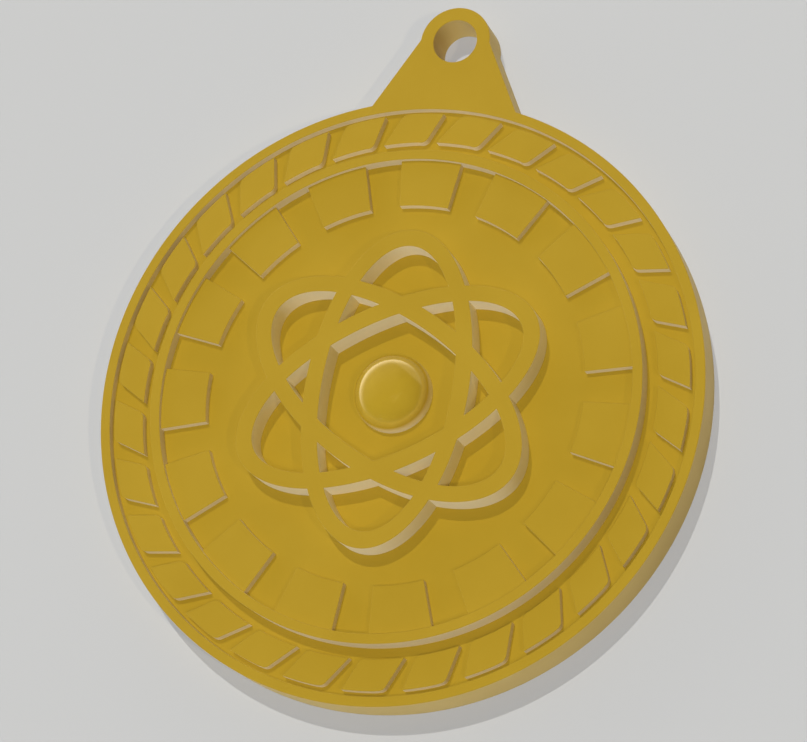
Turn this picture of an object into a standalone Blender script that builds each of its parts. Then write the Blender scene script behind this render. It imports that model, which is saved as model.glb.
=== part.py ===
"""A cast science medal with a suspension tab, lying on its back.

The origin is the middle of the disc's flat back. +Z comes out of the front and +Y points to the tab.
Lengths are in metres and angles in degrees.

The front is a relief in levels. Every edge of the relief is drawn as an outline on one plan, the plan is
cut into triangles along the outlines, and each triangle is raised to the height of the form it lies in.
"""

from math import asin, ceil, cos, degrees, hypot, radians, sin, sqrt, tan

import bmesh
import bpy
from mathutils import Vector
from mathutils.geometry import delaunay_2d_cdt

MM = 0.001

# The disc and its flat rim, with the sunk channel and the field that lies just under the rim's level.
DISC_RADIUS = 25.0 * MM
BACK = 0.0
RIM_TOP = 3.35 * MM
RIM_INNER_RADIUS = 24.2 * MM
CHANNEL_FLOOR = 2.65 * MM
FIELD_FLOOR = 3.25 * MM

# The plain raised ring between the channel and the field.
RING_OUTER_RADIUS = 20.3 * MM
RING_INNER_RADIUS = 19.5 * MM
RING_TOP = 4.3 * MM

# The slanted teeth that stand free in the channel, level with the rim.
TOOTH_COUNT = 30
TOOTH_INNER_RADIUS = 21.3 * MM
TOOTH_OUTER_RADIUS = 23.8 * MM
TOOTH_WIDTH = 3.44 * MM
TOOTH_SLANT = 30.0
TOOTH_CORNER_RADIUS = 0.68 * MM
TOOTH_TOP = RIM_TOP
FIRST_TOOTH_ANGLE = 95.4

# The blocks on the inner side of the ring, like the teeth of a cog wheel.
BLOCK_COUNT = 15
BLOCK_ARC = 15.0
BLOCK_INNER_RADIUS = 15.65 * MM
BLOCK_TOP = 3.92 * MM

# The atom: three flat bands on crossing ellipses. The first one points to the tab.
ORBIT_COUNT = 3
ORBIT_HALF_LENGTH = 12.4 * MM
ORBIT_HALF_BREADTH = 6.1 * MM
ORBIT_BAND_WIDTH = 1.36 * MM
ORBIT_TOP = 5.32 * MM

# The nucleus: half an ellipsoid in the middle of the atom.
NUCLEUS_RADIUS = 3.2 * MM
NUCLEUS_HEIGHT = 2.25 * MM
NUCLEUS_RINGS = 9

# The suspension tab: straight flanks that rise from the disc to a round head with a hole.
TAB_ANGLE = 90.0
TAB_FOOT_HALF_ANGLE = 14.25
TAB_HEAD_DISTANCE = 30.2 * MM
TAB_HEAD_RADIUS = 2.95 * MM
TAB_HOLE_RADIUS = 1.85 * MM

# How finely curved edges are cut into straight runs.
CIRCLE_STEP = 2.0
SMALL_ARC_STEP = 2.5
HEAD_STEP = 9.0
NUCLEUS_STEP = 7.5
ELLIPSE_SIDES = 84
CORNER_STEPS = 4
SAME_POINT = 1e-7

# The triangulation's setting that keeps the triangles inside the outlines and drops the rest.
TRIANGLES_INSIDE = 1

# Gold-coloured brass. The colour is linear RGBA, and edges that turn by more than the angle look sharp.
BRASS_COLOUR = (0.479, 0.292, 0.027, 1.0)
BRASS_ROUGHNESS = 0.38
SHARP_ANGLE = 30.0


def clear_scene():
    for obj in list(bpy.data.objects):
        bpy.data.objects.remove(obj, do_unlink=True)


def gilt_brass():
    """Satin gold-coloured cast metal."""
    material = bpy.data.materials.new("gilt_cast_brass")
    material.use_nodes = True
    shader = material.node_tree.nodes["Principled BSDF"]
    shader.inputs["Base Color"].default_value = BRASS_COLOUR
    shader.inputs["Metallic"].default_value = 1.0
    shader.inputs["Roughness"].default_value = BRASS_ROUGHNESS
    return material


def arc(radius, start, end, step, centre=(0.0, 0.0)):
    """Points along an arc from one angle to another, both ends included."""
    count = max(1, round(abs(end - start) / step))
    points = []
    for i in range(count + 1):
        angle = radians(start + (end - start) * i / count)
        points.append((centre[0] + radius * cos(angle), centre[1] + radius * sin(angle)))
    return points


def circle(radius, step, centre=(0.0, 0.0)):
    return arc(radius, 0, 360, step, centre)[:-1]


def turned(points, angle):
    """The same points turned about the origin."""
    c = cos(radians(angle))
    s = sin(radians(angle))
    return [(x * c - y * s, x * s + y * c) for x, y in points]


def direction(start, end):
    length = hypot(end[0] - start[0], end[1] - start[1])
    return ((end[0] - start[0]) / length, (end[1] - start[1]) / length)


def moved(point, heading, distance):
    return (point[0] + heading[0] * distance, point[1] + heading[1] * distance)


def fillet(before, corner, after, radius):
    """Points of the arc that rounds off a corner between two straight runs."""
    back = direction(corner, before)
    onward = direction(corner, after)
    half_angle = asin(sqrt((1 - back[0] * onward[0] - back[1] * onward[1]) / 2))
    middle = direction((0.0, 0.0), (back[0] + onward[0], back[1] + onward[1]))
    centre = moved(corner, middle, radius / sin(half_angle))
    first = moved(corner, back, radius / tan(half_angle))
    start = direction(centre, first)
    sweep = 180 - 2 * degrees(half_angle)
    angle = degrees(asin(start[1])) if start[0] > 0 else 180 - degrees(asin(start[1]))
    return arc(radius, angle, angle + sweep, sweep / CORNER_STEPS, centre)


def body_outline():
    """The disc and its tab, with the kink where the flanks meet the round head."""
    foot_angles = (TAB_ANGLE + TAB_FOOT_HALF_ANGLE, TAB_ANGLE - TAB_FOOT_HALF_ANGLE)
    left_foot, right_foot = arc(DISC_RADIUS, *foot_angles, step=360)
    first_whole_step = TAB_ANGLE + CIRCLE_STEP * ceil(TAB_FOOT_HALF_ANGLE / CIRCLE_STEP)
    disc = arc(DISC_RADIUS, first_whole_step, 360 + 2 * TAB_ANGLE - first_whole_step, CIRCLE_STEP)
    head = arc(TAB_HEAD_RADIUS, 0, 180, HEAD_STEP, (0.0, TAB_HEAD_DISTANCE))
    return [left_foot, *disc, right_foot, *head]


def tooth_side_point(radius, offset):
    """Where a side of a tooth on +X meets an arc. The sides lean clockwise as they go outward."""
    slope = tan(radians(TOOTH_SLANT))
    middle = offset + slope * (TOOTH_INNER_RADIUS + TOOTH_OUTER_RADIUS) / 2
    square = 1 + slope**2
    x = (slope * middle + sqrt(square * radius**2 - middle**2)) / square
    return (x, middle - slope * x)


def tooth_arc(radius, start, end):
    """Points strictly between two points of an arc near +X."""
    first = degrees(asin(start[1] / radius))
    last = degrees(asin(end[1] / radius))
    return arc(radius, first, last, SMALL_ARC_STEP)[1:-1]


def tooth_outline():
    """A tooth on +X: arcs inside and outside, parallel slanted sides, and its two blunt corners rounded."""
    half = TOOTH_WIDTH / 2
    inner_sharp = tooth_side_point(TOOTH_INNER_RADIUS, half)
    inner_blunt = tooth_side_point(TOOTH_INNER_RADIUS, -half)
    outer_sharp = tooth_side_point(TOOTH_OUTER_RADIUS, -half)
    outer_blunt = tooth_side_point(TOOTH_OUTER_RADIUS, half)
    inner_round = fillet(inner_sharp, inner_blunt, outer_sharp, TOOTH_CORNER_RADIUS)
    outer_round = fillet(outer_sharp, outer_blunt, inner_sharp, TOOTH_CORNER_RADIUS)
    inner_edge = tooth_arc(TOOTH_INNER_RADIUS, inner_sharp, inner_round[0])
    outer_edge = tooth_arc(TOOTH_OUTER_RADIUS, outer_sharp, outer_round[0])
    return [inner_sharp, *inner_edge, *inner_round, outer_sharp, *outer_edge, *outer_round]


def block_outline():
    """A block on +X. It runs on under the ring, which is higher and hides the end."""
    root_radius = (RING_INNER_RADIUS + RING_OUTER_RADIUS) / 2
    half = BLOCK_ARC / 2
    root = arc(root_radius, -half, half, SMALL_ARC_STEP)
    return root + arc(BLOCK_INNER_RADIUS, half, -half, SMALL_ARC_STEP)


def ellipse(half_length, half_breadth):
    points = []
    for i in range(ELLIPSE_SIDES):
        angle = radians(360 * i / ELLIPSE_SIDES)
        points.append((half_length * cos(angle), half_breadth * sin(angle)))
    return points


def around(outline, count, first_angle, spread=360.0):
    """Copies of an outline on +X, evenly spread about the origin."""
    return [turned(outline, first_angle + i * spread / count) for i in range(count)]


def draw_plan():
    """Every outline of the relief, as (name of the form, points) pairs."""
    half_band = ORBIT_BAND_WIDTH / 2
    band_outside = ellipse(ORBIT_HALF_LENGTH + half_band, ORBIT_HALF_BREADTH + half_band)
    band_inside = ellipse(ORBIT_HALF_LENGTH - half_band, ORBIT_HALF_BREADTH - half_band)
    plan = [
        ("body", body_outline()),
        ("hole", circle(TAB_HOLE_RADIUS, HEAD_STEP, (0.0, TAB_HEAD_DISTANCE))),
        ("channel", circle(RIM_INNER_RADIUS, CIRCLE_STEP)),
        ("ring", circle(RING_OUTER_RADIUS, CIRCLE_STEP)),
        ("field", circle(RING_INNER_RADIUS, CIRCLE_STEP)),
    ]
    plan += [("tooth", points) for points in around(tooth_outline(), TOOTH_COUNT, FIRST_TOOTH_ANGLE)]
    plan += [("block", points) for points in around(block_outline(), BLOCK_COUNT, TAB_ANGLE)]
    for i, points in enumerate(around(band_outside, ORBIT_COUNT, TAB_ANGLE, 180)):
        plan.append((f"orbit {i}", points))
    for i, points in enumerate(around(band_inside, ORBIT_COUNT, TAB_ANGLE, 180)):
        plan.append((f"inside orbit {i}", points))
    for i in range(NUCLEUS_RINGS):
        radius = NUCLEUS_RADIUS * cos(radians(90 * i / NUCLEUS_RINGS))
        plan.append(("nucleus", circle(radius, NUCLEUS_STEP)))
    return plan


def on_a_band(forms):
    return any(f"orbit {i}" in forms and f"inside orbit {i}" not in forms for i in range(ORBIT_COUNT))


def nucleus_height(point):
    share = min(1.0, hypot(point[0], point[1]) / NUCLEUS_RADIUS)
    rise = NUCLEUS_HEIGHT * sqrt(1 - share**2)
    return FIELD_FLOOR + (rise if share < 1 - SAME_POINT / NUCLEUS_RADIUS else 0.0)


def height(forms, point):
    """The height of the front at a point, from the forms that its triangle lies in. A hole has none."""
    if "hole" in forms:
        return None
    if "nucleus" in forms:
        return nucleus_height(point)
    if on_a_band(forms):
        return ORBIT_TOP
    if "field" in forms:
        return BLOCK_TOP if "block" in forms else FIELD_FLOOR
    if "ring" in forms:
        return RING_TOP
    if "tooth" in forms:
        return TOOTH_TOP
    return CHANNEL_FLOOR if "channel" in forms else RIM_TOP


def triangulated(plan):
    """The plan's points, its triangles, and the names of the forms that each triangle lies in."""
    points = [Vector((0.0, 0.0))]
    outlines = []
    for _, outline in plan:
        outlines.append(list(range(len(points), len(points) + len(outline))))
        points += [Vector(point) for point in outline]
    found = delaunay_2d_cdt(points, [], outlines, TRIANGLES_INSIDE, SAME_POINT)
    points, _, triangles, _, _, outlines_around = found
    forms = [{plan[i][0] for i in around_one} for around_one in outlines_around]
    return points, triangles, forms


class Relief:
    """The mesh under way. A point of the plan has a column of vertices, one for each height met there."""

    def __init__(self, points):
        self.mesh = bmesh.new()
        self.points = points
        self.columns = [{} for _ in points]

    def vertex(self, index, at_height):
        column = self.columns[index]
        if at_height not in column:
            x, y = self.points[index]
            column[at_height] = self.mesh.verts.new((x, y, at_height))
        return column[at_height]

    def climb(self, index, low, high):
        """The vertices of a column from one height up to another."""
        column = self.columns[index]
        return [column[z] for z in sorted(column) if low <= z <= high]


def sides_of(triangles, heights):
    """The triangle on the left of each directed edge of the plan, where there is metal."""
    left = {}
    for number, corners in enumerate(triangles):
        if heights[number] is None:
            continue
        for i, corner in enumerate(corners):
            left[corner, corners[(i + 1) % len(corners)]] = number
    return left


def add_tops(relief, triangles, heights):
    for corners, levels in zip(triangles, heights):
        if levels is not None:
            relief.mesh.faces.new([relief.vertex(i, levels[i]) for i in corners])


def add_walls(relief, left, heights):
    """A wall along each edge of the plan whose left side stands higher than its right."""
    edges = [(a, b, heights[number]) for (a, b), number in left.items()]
    for a, b, _ in edges:
        if (b, a) not in left:
            relief.vertex(a, BACK)
            relief.vertex(b, BACK)
    for a, b, high in edges:
        beside = left.get((b, a))
        low = {a: BACK, b: BACK} if beside is None else heights[beside]
        if high[a] > low[a] and high[b] > low[b]:
            rising = relief.climb(b, low[b], high[b])
            falling = relief.climb(a, low[a], high[a])[::-1]
            relief.mesh.faces.new([falling[-1], *rising, *falling[:-1]])


def add_back(relief):
    open_edges = [edge for edge in relief.mesh.edges if edge.is_boundary]
    bmesh.ops.triangle_fill(relief.mesh, edges=open_edges, use_beauty=True, normal=(0, 0, -1))


def relief_mesh():
    points, triangles, forms = triangulated(draw_plan())
    heights = []
    for corners, inside in zip(triangles, forms):
        levels = {i: height(inside, points[i]) for i in corners}
        heights.append(None if None in levels.values() else levels)
    relief = Relief(points)
    add_tops(relief, triangles, heights)
    add_walls(relief, sides_of(triangles, heights), heights)
    add_back(relief)
    return relief.mesh


def build_medal():
    data = bpy.data.meshes.new("medal")
    mesh = relief_mesh()
    mesh.to_mesh(data)
    mesh.free()
    data.materials.append(gilt_brass())
    data.shade_smooth()
    data.set_sharp_from_angle(angle=radians(SHARP_ANGLE))
    medal = bpy.data.objects.new("medal", data)
    bpy.context.scene.collection.objects.link(medal)


def main():
    clear_scene()
    build_medal()


main()
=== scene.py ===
"""The look of a gilt brass science medal that lies on its back on a pale floor.

Lengths are in metres and angles in degrees, in the CAD model's frame: the origin is the middle of the flat
back, +Z comes out of the relief and +Y points to the suspension tab. An outline is a closed row of (x, y)
points with the metal on its left.
"""

from math import asin, ceil, cos, degrees, hypot, radians, sin, sqrt, tan

import bmesh
import bpy
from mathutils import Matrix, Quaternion, Vector
from mathutils.geometry import delaunay_2d_cdt


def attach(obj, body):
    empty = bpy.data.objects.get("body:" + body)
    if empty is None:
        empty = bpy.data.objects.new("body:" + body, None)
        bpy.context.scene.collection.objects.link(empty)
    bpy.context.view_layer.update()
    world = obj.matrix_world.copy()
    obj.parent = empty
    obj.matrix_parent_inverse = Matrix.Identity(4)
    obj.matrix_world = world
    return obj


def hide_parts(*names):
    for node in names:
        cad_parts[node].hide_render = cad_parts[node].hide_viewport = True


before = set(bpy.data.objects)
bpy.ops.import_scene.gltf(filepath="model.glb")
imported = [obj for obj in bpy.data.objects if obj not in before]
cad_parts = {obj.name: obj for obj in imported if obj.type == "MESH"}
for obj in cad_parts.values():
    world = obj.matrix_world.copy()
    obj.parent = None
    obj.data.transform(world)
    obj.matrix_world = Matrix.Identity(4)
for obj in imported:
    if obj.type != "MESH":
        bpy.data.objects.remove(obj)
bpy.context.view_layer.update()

MM = 0.001

# The disc and its flat rim, with the sunk channel and the field that lies just under the rim's level.
DISC_RADIUS = 25.0 * MM
BACK = 0.0
RIM_TOP = 3.35 * MM
RIM_INNER_RADIUS = 24.2 * MM
CHANNEL_FLOOR = 2.65 * MM
FIELD_FLOOR = 3.25 * MM
RING_OUTER_RADIUS = 20.3 * MM
RING_INNER_RADIUS = 19.5 * MM
RING_TOP = 4.3 * MM

# The slanted teeth in the channel.
TOOTH_COUNT = 30
TOOTH_INNER_RADIUS = 21.3 * MM
TOOTH_OUTER_RADIUS = 23.8 * MM
TOOTH_WIDTH = 3.44 * MM
TOOTH_SLANT = 30.0
TOOTH_CORNER_RADIUS = 0.68 * MM
FIRST_TOOTH_ANGLE = 95.4

# The cog blocks on the inner side of the ring.
BLOCK_COUNT = 15
BLOCK_ARC = 15.0
BLOCK_INNER_RADIUS = 15.65 * MM
BLOCK_TOP = 3.92 * MM

# The atom: three crossing orbits and a domed nucleus.
ORBIT_COUNT = 3
ORBIT_HALF_LENGTH = 12.4 * MM
ORBIT_HALF_BREADTH = 6.1 * MM
ORBIT_BAND_WIDTH = 1.36 * MM
ORBIT_TOP = 5.32 * MM
NUCLEUS_RADIUS = 3.2 * MM
NUCLEUS_HEIGHT = 2.25 * MM
NUCLEUS_FULLNESS = 2.4

# The suspension tab.
TAB_ANGLE = 90.0
TAB_FOOT_HALF_ANGLE = 14.25
TAB_HEAD_DISTANCE = 30.2 * MM
TAB_HEAD_RADIUS = 2.95 * MM
TAB_HOLE_RADIUS = 1.85 * MM

# What casting and finishing leave: rounded edges, and a fillet at the foot of each wall.
EDGE_RADIUS = 0.035 * MM
FOOT_RADIUS = 0.03 * MM
EDGE_STEPS = 3
FOOT_STEPS = 3

# How far a boss reaches down into the metal under it, and how far under the floor its fillet starts.
SUNK = 0.2 * MM
BARELY = 0.004 * MM

# How finely curved edges are cut into straight runs: numbers of runs, and steps in degrees.
TURNED_SIDES = 360
ORBIT_SIDES = 240
NUCLEUS_SIDES = 96
NUCLEUS_RINGS = 28
CORNER_STEPS = 6
SMALL_ARC_STEP = 0.75
HEAD_STEP = 5.0

# An outline that turns more than this has a corner, and its other points keep this far from it.
CORNER_TURN = 20.0
SHORTEST_RUN_AT_CORNER = 0.2 * MM

# For the triangulation: how close two points are one, and the mode that fills the insides of outlines.
SAME_POINT = 1e-8
TRIANGLES_INSIDE = 1

# Faces that turn less than this are shaded together, and the upright part of a normal tells flats and walls.
SMOOTH_TURN = 34.0
FLAT_FROM = 0.9999
WALL_UP_TO = 0.0001

# The camera of the photograph.
CAMERA_PLACE = (0.0785946, -0.0588062, 0.2142381)
CAMERA_BACKWARD = (0.33517849, -0.26069178, 0.90537019)
CAMERA_ROLL = -45.04
CAMERA_LENS_MM = 131.56
CAMERA_SENSOR_MM = 36.0
CAMERA_SHIFT = (-0.00062, 0.00062)
CAMERA_NEAR = 0.01

# The studio floor, just under the medal's back, and where the room is bright as seen from the medal.
FLOOR_RADIUS = 1.5
FLOOR_SIDES = 64
FLOOR_DROP = 0.02 * MM
BRIGHT_WALL_DIRECTION = (-0.707, 0.707, 0.0)
PANEL_DIRECTION = (0.342, 0.94, 0.0)

# The middle of a noise's range, which holds nearly all of its values.
NOISE_RANGE = {"From Min": 0.3, "From Max": 0.7}


# Outlines


def arc(radius, start, end, runs, centre=(0.0, 0.0)):
    """Points along an arc from one angle to another, both ends included."""
    points = []
    for i in range(runs + 1):
        angle = radians(start + (end - start) * i / runs)
        points.append((centre[0] + radius * cos(angle), centre[1] + radius * sin(angle)))
    return points


def circle(radius, sides, centre=(0.0, 0.0)):
    return arc(radius, 0, 360, sides, centre)[:-1]


def direction(start, end):
    length = hypot(end[0] - start[0], end[1] - start[1])
    return ((end[0] - start[0]) / length, (end[1] - start[1]) / length)


def moved(point, heading, distance):
    return (point[0] + heading[0] * distance, point[1] + heading[1] * distance)


def turned(points, angle):
    c = cos(radians(angle))
    s = sin(radians(angle))
    return [(x * c - y * s, x * s + y * c) for x, y in points]


def inset(outline, distance):
    """The outline moved into the metal, or out of it where the distance is negative."""
    points = []
    for i, here in enumerate(outline):
        arriving = direction(outline[i - 1], here)
        leaving = direction(here, outline[(i + 1) % len(outline)])
        share = distance / (1 + arriving[0] * leaving[0] + arriving[1] * leaving[1])
        left = (-arriving[1] - leaving[1], arriving[0] + leaving[0])
        points.append(moved(here, left, share))
    return points


def fillet(before, corner, after, radius):
    """Points of the arc that rounds off a corner between two straight runs."""
    back = direction(corner, before)
    onward = direction(corner, after)
    half_angle = asin(sqrt((1 - back[0] * onward[0] - back[1] * onward[1]) / 2))
    middle = direction((0.0, 0.0), (back[0] + onward[0], back[1] + onward[1]))
    centre = moved(corner, middle, radius / sin(half_angle))
    start = direction(centre, moved(corner, back, radius / tan(half_angle)))
    angle = degrees(asin(start[1])) if start[0] > 0 else 180 - degrees(asin(start[1]))
    return arc(radius, angle, angle + 180 - 2 * degrees(half_angle), CORNER_STEPS, centre)


def body_outline():
    """The disc and its tab, with the kink where the flanks meet the round head."""
    foot_angles = (TAB_ANGLE + TAB_FOOT_HALF_ANGLE, TAB_ANGLE - TAB_FOOT_HALF_ANGLE)
    left_foot, right_foot = arc(DISC_RADIUS, *foot_angles, 1)
    first = ceil(foot_angles[0])
    last = 360 + 2 * TAB_ANGLE - first
    disc = arc(DISC_RADIUS, first, last, round(last - first))
    head = arc(TAB_HEAD_RADIUS, 0, 180, round(180 / HEAD_STEP), (0.0, TAB_HEAD_DISTANCE))
    return [left_foot, *disc, right_foot, *head]


def tooth_side_point(radius, offset):
    """Where a side of a tooth on +X meets an arc. The sides lean clockwise as they go outward."""
    slope = tan(radians(TOOTH_SLANT))
    middle = offset + slope * (TOOTH_INNER_RADIUS + TOOTH_OUTER_RADIUS) / 2
    square = 1 + slope**2
    x = (slope * middle + sqrt(square * radius**2 - middle**2)) / square
    return (x, middle - slope * x)


def tooth_arc(radius, start, end):
    """Points strictly between two points of an arc near +X."""
    first = degrees(asin(start[1] / radius))
    last = degrees(asin(end[1] / radius))
    return arc(radius, first, last, ceil(abs(last - first) / SMALL_ARC_STEP))[1:-1]


def tooth_outline():
    """A tooth on +X: arcs inside and outside, parallel slanted sides, and its two blunt corners rounded."""
    half = TOOTH_WIDTH / 2
    inner_sharp = tooth_side_point(TOOTH_INNER_RADIUS, half)
    inner_blunt = tooth_side_point(TOOTH_INNER_RADIUS, -half)
    outer_sharp = tooth_side_point(TOOTH_OUTER_RADIUS, -half)
    outer_blunt = tooth_side_point(TOOTH_OUTER_RADIUS, half)
    inner_round = fillet(inner_sharp, inner_blunt, outer_sharp, TOOTH_CORNER_RADIUS)
    outer_round = fillet(outer_sharp, outer_blunt, inner_sharp, TOOTH_CORNER_RADIUS)
    inner_edge = tooth_arc(TOOTH_INNER_RADIUS, inner_sharp, inner_round[0])
    outer_edge = tooth_arc(TOOTH_OUTER_RADIUS, outer_sharp, outer_round[0])
    return [inner_sharp, *inner_edge, *inner_round, outer_sharp, *outer_edge, *outer_round]


def block_outline():
    """A block on +X. It runs on under the ring, which is higher and hides the end."""
    root_radius = (RING_INNER_RADIUS + RING_OUTER_RADIUS) / 2
    half = BLOCK_ARC / 2
    runs = round(BLOCK_ARC / SMALL_ARC_STEP)
    return arc(root_radius, -half, half, runs) + arc(BLOCK_INNER_RADIUS, half, -half, runs)


def ellipse(half_length, half_breadth):
    points = []
    for i in range(ORBIT_SIDES):
        angle = radians(360 * i / ORBIT_SIDES)
        points.append((half_length * cos(angle), half_breadth * sin(angle)))
    return points


def turn_at(outline, i):
    """How sharply an outline turns at one of its points."""
    arriving = direction(outline[i - 1], outline[i])
    leaving = direction(outline[i], outline[(i + 1) % len(outline)])
    return abs(degrees(asin(max(-1.0, min(1.0, arriving[0] * leaving[1] - arriving[1] * leaving[0])))))


def cleared_corners(outline):
    """The outline without the points that crowd a corner, so that it can be moved either way."""
    corners = [point for i, point in enumerate(outline) if turn_at(outline, i) > CORNER_TURN]
    kept = []
    for point in outline:
        gaps = [hypot(point[0] - x, point[1] - y) for x, y in corners]
        if point in corners or min(gaps, default=1.0) > SHORTEST_RUN_AT_CORNER:
            kept.append(point)
    return kept


def orbit_outlines():
    """The outlines of the three bands together: the outer one first, then those of the openings."""
    half_band = ORBIT_BAND_WIDTH / 2
    drawn = []
    for i in range(ORBIT_COUNT):
        angle = TAB_ANGLE + 180 * i / ORBIT_COUNT
        outside = ellipse(ORBIT_HALF_LENGTH + half_band, ORBIT_HALF_BREADTH + half_band)
        inside = ellipse(ORBIT_HALF_LENGTH - half_band, ORBIT_HALF_BREADTH - half_band)
        drawn += [turned(outside, angle), turned(inside, angle)]
    points = [Vector(point) for outline in drawn for point in outline]
    rows = [list(range(i * ORBIT_SIDES, (i + 1) * ORBIT_SIDES)) for i in range(len(drawn))]
    found = delaunay_2d_cdt(points, [], rows, TRIANGLES_INSIDE, SAME_POINT)
    edges = set()
    for corners, inside in zip(found[2], found[5]):
        on_a_band = any(2 * i in inside and 2 * i + 1 not in inside for i in range(ORBIT_COUNT))
        if on_a_band:
            edges |= {(corners[0], corners[1]), (corners[1], corners[2]), (corners[2], corners[0])}
    following = {a: b for a, b in edges if (b, a) not in edges}
    outlines = []
    while following:
        start, here = following.popitem()
        row = [start]
        while here != start:
            row.append(here)
            here = following.pop(here)
        outlines.append([tuple(found[0][i]) for i in row])
    outlines.sort(key=lambda outline: -max(x for x, _ in outline))
    return [cleared_corners(outline) for outline in outlines]


# Solids


def rounded_edge(top, radius=EDGE_RADIUS):
    """(inset, height) pairs up and over a rounded top edge."""
    steps = [radians(90 * i / EDGE_STEPS) for i in range(EDGE_STEPS + 1)]
    return [(radius - radius * cos(a), top - radius + radius * sin(a)) for a in steps]


def foot(floor):
    """(inset, height) pairs from under a floor up the fillet at the foot of a wall."""
    steps = [radians(90 * i / FOOT_STEPS) for i in range(FOOT_STEPS + 1)]
    rising = [(FOOT_RADIUS * (sin(a) - 1), floor - BARELY + FOOT_RADIUS * (1 - cos(a))) for a in steps]
    return [(-FOOT_RADIUS, floor - SUNK), *rising]


def loop_of(mesh, points, height):
    return [mesh.verts.new((x, y, height)) for x, y in points]


def join(mesh, lower, upper):
    """A strip of faces between two loops, facing away from the metal."""
    for i, corner in enumerate(lower):
        mesh.faces.new((lower[i - 1], corner, upper[i], upper[i - 1]))


def fill(mesh, loops, face_up):
    """A flat face inside the first loop and outside the others."""
    vertices = [vertex for loop in loops for vertex in loop]
    rows = []
    for loop in loops:
        first = sum(len(row) for row in rows)
        rows.append(list(range(first, first + len(loop))))
    anticlockwise = rows[:1] + [row[::-1] for row in rows[1:]]
    points = [vertex.co.xy for vertex in vertices]
    found = delaunay_2d_cdt(points, [], anticlockwise, TRIANGLES_INSIDE, SAME_POINT)
    for corners, inside in zip(found[2], found[5]):
        if set(inside) == {0}:
            face = [vertices[found[3][i][0]] for i in corners]
            mesh.faces.new(face if face_up else face[::-1])


def raise_walls(mesh, outlines, profile):
    """Walls along the outlines that follow the profile upwards. Gives the bottom and top loops."""
    levels = []
    for distance, height in profile:
        levels.append([loop_of(mesh, inset(outline, distance), height) for outline in outlines])
    for lower, upper in zip(levels, levels[1:]):
        for low, high in zip(lower, upper):
            join(mesh, low, high)
    return levels[0], levels[-1]


def boss(name, outlines, profile):
    """A closed solid with a flat top and bottom."""
    mesh = bmesh.new()
    bottom, top = raise_walls(mesh, outlines, profile)
    fill(mesh, bottom, False)
    fill(mesh, top, True)
    return finished(name, mesh)


def finished(name, mesh):
    data = bpy.data.meshes.new(name)
    mesh.to_mesh(data)
    mesh.free()
    piece = bpy.data.objects.new(name, data)
    bpy.context.scene.collection.objects.link(piece)
    return piece


def face_profile():
    """(radius, height) pairs of the turned front, from the rim's inner edge in to the field."""
    over_ring = [(RING_OUTER_RADIUS - distance, height) for distance, height in rounded_edge(RING_TOP)]
    down_ring = [(RING_INNER_RADIUS + distance, height) for distance, height in rounded_edge(RING_TOP)]
    off_rim = [(RIM_INNER_RADIUS + distance, height) for distance, height in rounded_edge(RIM_TOP)]
    # The fillet of a foot, from level 0 up.
    rising = foot(BARELY)[1:]
    at_rim = [(RIM_INNER_RADIUS + distance, CHANNEL_FLOOR + height) for distance, height in rising]
    at_ring = [(RING_OUTER_RADIUS - distance, CHANNEL_FLOOR + height) for distance, height in rising]
    at_field = [(RING_INNER_RADIUS + distance, FIELD_FLOOR + height) for distance, height in rising]
    return off_rim[::-1] + at_rim[::-1] + at_ring + over_ring + down_ring[::-1] + at_field[::-1]


def cast_body():
    """The disc, rim, ring and tab as one solid. Its turned front takes the second material."""
    mesh = bmesh.new()
    hole = circle(TAB_HOLE_RADIUS, round(360 / HEAD_STEP), (0.0, TAB_HEAD_DISTANCE))[::-1]
    under = [(distance, BACK + RIM_TOP - height) for distance, height in rounded_edge(RIM_TOP)]
    bottom, top = raise_walls(mesh, [body_outline(), hole], under[::-1] + rounded_edge(RIM_TOP))
    fill(mesh, bottom, False)
    loops = [loop_of(mesh, circle(radius, TURNED_SIDES)[::-1], height) for radius, height in face_profile()]
    fill(mesh, [*top, loops[0]], True)
    outside = len(mesh.faces)
    for outer, inner in zip(loops, loops[1:]):
        join(mesh, inner, outer)
    fill(mesh, [loops[-1][::-1]], True)
    mesh.faces.ensure_lookup_table()
    for face in mesh.faces[outside:]:
        face.material_index = 1
    return finished("medal_body", mesh)


def nucleus():
    """A full dome, flatter on top than half an ellipsoid and steeper at its foot, sunk in the field."""
    mesh = bmesh.new()
    levels = [loop_of(mesh, circle(NUCLEUS_RADIUS, NUCLEUS_SIDES), FIELD_FLOOR - SUNK)]
    for i in range(NUCLEUS_RINGS):
        angle = radians(90 * i / NUCLEUS_RINGS)
        radius = NUCLEUS_RADIUS * cos(angle) ** (2 / NUCLEUS_FULLNESS)
        height = NUCLEUS_HEIGHT * sin(angle) ** (2 / NUCLEUS_FULLNESS)
        levels.append(loop_of(mesh, circle(radius, NUCLEUS_SIDES), FIELD_FLOOR + height))
    for lower, upper in zip(levels, levels[1:]):
        join(mesh, lower, upper)
    fill(mesh, levels[:1], False)
    pole = mesh.verts.new((0.0, 0.0, FIELD_FLOOR + NUCLEUS_HEIGHT))
    for i, corner in enumerate(levels[-1]):
        mesh.faces.new((levels[-1][i - 1], corner, pole))
    return finished("nucleus", mesh)


# Geometry Nodes


def add_node(tree, kind, settings=None, values=None, links=None):
    """Adds a node with its settings, the values of its inputs, and links from (node, output) pairs."""
    node = tree.nodes.new(kind)
    for name, value in (settings or {}).items():
        setattr(node, name, value)
    for name, value in (values or {}).items():
        node.inputs[name].default_value = value
    for name, (source, output) in (links or {}).items():
        tree.links.new(source.outputs[output], node.inputs[name])
    return node


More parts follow.
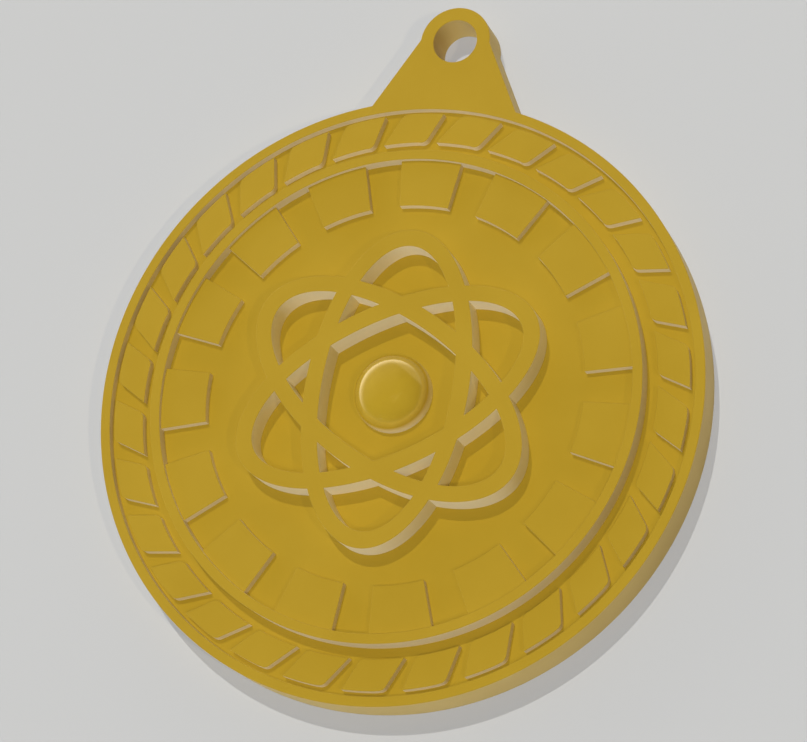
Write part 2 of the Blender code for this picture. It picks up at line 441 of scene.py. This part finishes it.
def spreading_tree():
    """Copies of a shape, evenly spread round the middle of the medal."""
    tree = bpy.data.node_groups.new("spread round the middle", "GeometryNodeTree")
    face = tree.interface
    face.new_socket("Shape", in_out="INPUT", socket_type="NodeSocketGeometry")
    face.new_socket("Count", in_out="INPUT", socket_type="NodeSocketInt")
    face.new_socket("First Angle", in_out="INPUT", socket_type="NodeSocketFloat")
    face.new_socket("Material", in_out="INPUT", socket_type="NodeSocketMaterial")
    face.new_socket("Copies", in_out="OUTPUT", socket_type="NodeSocketGeometry")
    given = add_node(tree, "NodeGroupInput")
    points = add_node(tree, "GeometryNodePoints", links={"Count": (given, "Count")})
    index = add_node(tree, "GeometryNodeInputIndex")
    step = add_node(tree, "ShaderNodeMath", {"operation": "DIVIDE"}, {0: 360.0}, {1: (given, "Count")})
    links = {0: (index, 0), 1: (step, 0), 2: (given, "First Angle")}
    angle = add_node(tree, "ShaderNodeMath", {"operation": "MULTIPLY_ADD"}, links=links)
    in_radians = add_node(tree, "ShaderNodeMath", {"operation": "RADIANS"}, links={0: (angle, 0)})
    turn = add_node(tree, "ShaderNodeCombineXYZ", links={"Z": (in_radians, 0)})
    links = {"Points": (points, 0), "Instance": (given, "Shape"), "Rotation": (turn, 0)}
    copies = add_node(tree, "GeometryNodeInstanceOnPoints", links=links)
    real = add_node(tree, "GeometryNodeRealizeInstances", links={0: (copies, 0)})
    links = {"Geometry": (real, 0), "Material": (given, "Material")}
    painted = add_node(tree, "GeometryNodeSetMaterial", links=links)
    add_node(tree, "NodeGroupOutput", links={"Copies": (painted, 0)})
    return tree


def grown(shape, tree, inputs):
    """Runs a tree on a shape, and keeps the result as a plain mesh."""
    modifier = shape.modifiers.new("nodes", "NODES")
    modifier.node_group = tree
    for socket in tree.interface.items_tree:
        if socket.name in inputs:
            modifier[socket.identifier] = inputs[socket.name]
    evaluated = shape.evaluated_get(bpy.context.evaluated_depsgraph_get())
    data = bpy.data.meshes.new_from_object(evaluated)
    shape.modifiers.remove(modifier)
    shape.data = data
    return shape


# Shading of the rounded edges


def true_normals(piece):
    """Keeps flat faces flat and walls straight, so that only the rounded edges between them look round."""
    data = piece.data
    mesh = bmesh.new()
    mesh.from_mesh(data)
    mesh.normal_update()
    together = cos(radians(SMOOTH_TURN))
    normals = []
    for face in mesh.faces:
        for vertex in face.verts:
            near = [other for other in vertex.link_faces if other.normal.dot(face.normal) > together]
            level = [other for other in near if abs(other.normal.z) > FLAT_FROM]
            upright = [other for other in near if abs(other.normal.z) < WALL_UP_TO]
            chosen = level or upright or near
            total = Vector()
            for other in chosen:
                total += other.normal * (1.0 if level or upright else other.calc_area())
            normals.append(total.normalized())
    mesh.free()
    data.shade_smooth()
    data.normals_split_custom_set(normals)


# Finishes


def linear(hex_colour):
    """An sRGB hex colour as linear RGBA."""
    channels = [int(hex_colour[i : i + 2], 16) / 255 for i in (1, 3, 5)]
    curve = [c / 12.92 if c <= 0.04045 else ((c + 0.055) / 1.055) ** 2.4 for c in channels]
    return (*curve, 1.0)


def metal(name):
    material = bpy.data.materials.new(name)
    material.use_nodes = True
    return material, material.node_tree, material.node_tree.nodes["Principled BSDF"]


def painted(tree, shader, place, face_colours, painted_light_wall_colours, patch, level_range):
    """Base colour: a slightly uneven tone in patches, with painted light on the upright walls, which are
    made paler than the flats to stand in for the light that falls on them.

    The level range is the upright part of the normal up to which a wall is pure, and from which a flat is.
    """
    values = {"Scale": 1 / patch, "Detail": 3.0, "Roughness": 0.5}
    patches = add_node(tree, "ShaderNodeTexNoise", values=values, links={"Vector": (place, "Object")})
    tone = add_node(tree, "ShaderNodeMapRange", values=NOISE_RANGE, links={"Value": (patches, "Fac")})
    tones = []
    for first, second in (face_colours, painted_light_wall_colours):
        values = {6: linear(first), 7: linear(second)}
        tones.append(add_node(tree, "ShaderNodeMix", {"data_type": "RGBA"}, values, {0: (tone, 0)}))
    # Painted light: the more upright a surface is, the more it takes the paler wall colour, which stands in
    # for light on the walls.
    normal = add_node(tree, "ShaderNodeSeparateXYZ", links={0: (place, "Normal")})
    level = add_node(tree, "ShaderNodeMath", {"operation": "ABSOLUTE"}, links={0: (normal, "Z")})
    values = {"From Min": level_range[0], "From Max": level_range[1]}
    flat = add_node(tree, "ShaderNodeMapRange", values=values, links={"Value": (level, 0)})
    links = {0: (flat, 0), 6: (tones[1], 2), 7: (tones[0], 2)}
    colour = add_node(tree, "ShaderNodeMix", {"data_type": "RGBA"}, links=links)
    tree.links.new(colour.outputs[2], shader.inputs["Base Color"])
    return patches


def satin_gilt_brass(name, painted_light_wall_colours):
    """Cast brass, gilt and left satin: a fine grain from the mould, an uneven tone and a thin lacquer, with
    painted light making its walls paler than its flats.
    """
    material, tree, shader = metal(name)
    shader.inputs["Metallic"].default_value = 0.3
    shader.inputs["Coat Weight"].default_value = 0.1
    shader.inputs["Coat Roughness"].default_value = 0.4
    place = add_node(tree, "ShaderNodeTexCoord")
    face_colours = ("#A48623", "#A08220")
    # The paler wall colours given to this finish are painted light on its walls, not a tone of the metal.
    patches = painted(tree, shader, place, face_colours, painted_light_wall_colours, 6 * MM, (0.15, 0.55))
    values = {**NOISE_RANGE, "To Min": 0.58, "To Max": 0.64}
    rough = add_node(tree, "ShaderNodeMapRange", values=values, links={"Value": (patches, "Fac")})
    tree.links.new(rough.outputs[0], shader.inputs["Roughness"])
    # The grain of the mould is about 0.1 mm. It is drawn 0.4 mm wide, the finest that the render shows.
    values = {"Scale": 1 / (0.4 * MM), "Detail": 2.0, "Roughness": 0.6}
    grain = add_node(tree, "ShaderNodeTexNoise", values=values, links={"Vector": (place, "Object")})
    values = {"Strength": 0.15, "Distance": 0.02 * MM}
    bump = add_node(tree, "ShaderNodeBump", values=values, links={"Height": (grain, "Fac")})
    tree.links.new(bump.outputs[0], shader.inputs["Normal"])
    return material


def polished_gilt_brass():
    """The same metal, buffed on the nucleus alone: a tight gloss, a little softer in patches, and a painted
    pale rim of reflected light on the dome's steep foot.
    """
    material, tree, shader = metal("polished_gilt_brass")
    shader.inputs["Metallic"].default_value = 0.3
    shader.inputs["Coat Weight"].default_value = 1.0
    shader.inputs["Coat Roughness"].default_value = 0.05
    place = add_node(tree, "ShaderNodeTexCoord")
    face_colours = ("#AB8D24", "#A78921")
    # Painted reflection: the steep foot of the dome takes these pale colours, which stand in for a rim of
    # reflected light.
    painted_light_wall_colours = ("#DDD2AC", "#D7CBA3")
    patches = painted(tree, shader, place, face_colours, painted_light_wall_colours, 1.5 * MM, (0.0, 0.38))
    values = {**NOISE_RANGE, "To Min": 0.14, "To Max": 0.18}
    rough = add_node(tree, "ShaderNodeMapRange", values=values, links={"Value": (patches, "Fac")})
    tree.links.new(rough.outputs[0], shader.inputs["Roughness"])
    return material


# The studio


def studio_floor():
    mesh = bmesh.new()
    loop = loop_of(mesh, circle(FLOOR_RADIUS, FLOOR_SIDES), -FLOOR_DROP)
    mesh.faces.new(loop)
    floor = finished("floor", mesh)
    material, _, shader = metal("pale_matt_board")
    shader.inputs["Base Color"].default_value = linear("#9D9D9A")
    shader.inputs["Roughness"].default_value = 0.8
    floor.data.materials.append(material)


def distant_lamp(name, azimuth, elevation, strength, size, colour="#FFFFFF", shadow=True):
    """A far lamp, placed by its direction from the medal: degrees from +X and degrees above the floor.

    One without shadows stands for light from all over its side of the room, which keeps the flats even.
    """
    lamp = bpy.data.lights.new(name, "SUN")
    lamp.energy = strength
    lamp.color = linear(colour)[:3]
    lamp.angle = radians(size)
    lamp.use_shadow = shadow
    light = bpy.data.objects.new(name, lamp)
    level = cos(radians(elevation))
    across = (level * cos(radians(azimuth)), level * sin(radians(azimuth)))
    towards = Vector((*across, sin(radians(elevation))))
    light.rotation_mode = "QUATERNION"
    light.rotation_quaternion = towards.to_track_quat("Z", "Y")
    bpy.context.scene.collection.objects.link(light)
    light.visible_glossy = False


def room_light():
    """A white room, bright low down on one side and dim on the other, with a faint panel to the tab's right.

    Its reflection draws the pale arc and the crescent on the nucleus.
    """
    world = bpy.data.worlds.new("room")
    world.use_nodes = True
    tree = world.node_tree
    place = add_node(tree, "ShaderNodeTexCoord")
    up = add_node(tree, "ShaderNodeSeparateXYZ", links={0: (place, "Generated")})
    settings = {"interpolation_type": "SMOOTHSTEP"}
    product = {"operation": "DOT_PRODUCT"}
    links = {0: (place, "Generated")}
    near_wall = add_node(tree, "ShaderNodeVectorMath", product, {1: BRIGHT_WALL_DIRECTION}, links)
    values = {"From Min": 0.2, "From Max": 1.0, "To Min": 0.12, "To Max": 1.0}
    side = add_node(tree, "ShaderNodeMapRange", settings, values, {"Value": (near_wall, "Value")})
    values = {"From Min": 0.1, "From Max": 0.5, "To Min": 2.6, "To Max": 0.3}
    height = add_node(tree, "ShaderNodeMapRange", settings, values, {"Value": (up, "Z")})
    near_panel = add_node(tree, "ShaderNodeVectorMath", product, {1: PANEL_DIRECTION}, links)
    values = {"From Min": 0.73, "From Max": 0.8, "To Min": 0.0, "To Max": 0.4}
    panel = add_node(tree, "ShaderNodeMapRange", settings, values, {"Value": (near_panel, "Value")})
    links = {0: (side, 0), 1: (height, 0), 2: (panel, 0)}
    total = add_node(tree, "ShaderNodeMath", {"operation": "MULTIPLY_ADD"}, links=links)
    background = tree.nodes["Background"]
    background.inputs["Color"].default_value = linear("#FBFBFA")
    tree.links.new(total.outputs[0], background.inputs["Strength"])
    bpy.context.scene.world = world
    bpy.context.scene.view_settings.view_transform = "Standard"


def photo_camera():
    data = bpy.data.cameras.new("camera")
    data.lens = CAMERA_LENS_MM
    data.sensor_width = CAMERA_SENSOR_MM
    data.shift_x, data.shift_y = CAMERA_SHIFT
    data.clip_start = CAMERA_NEAR
    camera = bpy.data.objects.new("camera", data)
    camera.location = CAMERA_PLACE
    camera.rotation_mode = "QUATERNION"
    level = Vector(CAMERA_BACKWARD).to_track_quat("Z", "Y")
    camera.rotation_quaternion = level @ Quaternion((0.0, 0.0, 1.0), radians(CAMERA_ROLL))
    bpy.context.scene.collection.objects.link(camera)
    bpy.context.scene.camera = camera


def dressed(piece, *materials):
    """Gives a finished piece its metals and true normals, and lets it ride on the medal's one body."""
    for material in materials:
        piece.data.materials.append(material)
    true_normals(piece)
    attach(piece, "root")
    return piece


def build_medal():
    # Painted light: each piece's walls are painted paler than its flats to stand in for the light on them,
    # least on the disc's edge, more on the relief and most on the atom.
    satin = satin_gilt_brass("satin_gilt_cast_brass", ("#CAAE62", "#C4A85C"))
    paler = satin_gilt_brass("satin_gilt_brass_painted_lighter_walls", ("#D9C898", "#D2C08D"))
    palest = satin_gilt_brass("satin_gilt_brass_painted_lightest_walls", ("#E7D9A9", "#E0D1A0"))
    polished = polished_gilt_brass()
    spread = spreading_tree()
    body = dressed(cast_body(), satin, paler)
    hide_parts("medal")
    tooth = boss("border_teeth", [tooth_outline()], foot(CHANNEL_FLOOR) + rounded_edge(RIM_TOP))
    inputs = {"Count": TOOTH_COUNT, "First Angle": FIRST_TOOTH_ANGLE, "Material": paler}
    dressed(grown(tooth, spread, inputs))
    block = boss("cog_blocks", [block_outline()], foot(FIELD_FLOOR) + rounded_edge(BLOCK_TOP))
    inputs = {"Count": BLOCK_COUNT, "First Angle": TAB_ANGLE, "Material": paler}
    dressed(grown(block, spread, inputs))
    dressed(boss("atom_orbits", orbit_outlines(), foot(FIELD_FLOOR) + rounded_edge(ORBIT_TOP)), palest)
    dressed(nucleus(), polished)


photo_camera()
studio_floor()
distant_lamp("key", azimuth=112, elevation=64, strength=1.8, size=0.5)
distant_lamp("side", azimuth=-21, elevation=48, strength=0.6, size=1.0, colour="#FFF0CC")
distant_lamp("front", azimuth=-50, elevation=63, strength=0.78, size=2, colour="#FFF8E8")
distant_lamp("top", azimuth=0, elevation=90, strength=1.5, size=15, shadow=False)
distant_lamp("fill", azimuth=-112, elevation=30, strength=2.75, size=15, colour="#D2DCFF", shadow=False)
room_light()
build_medal()
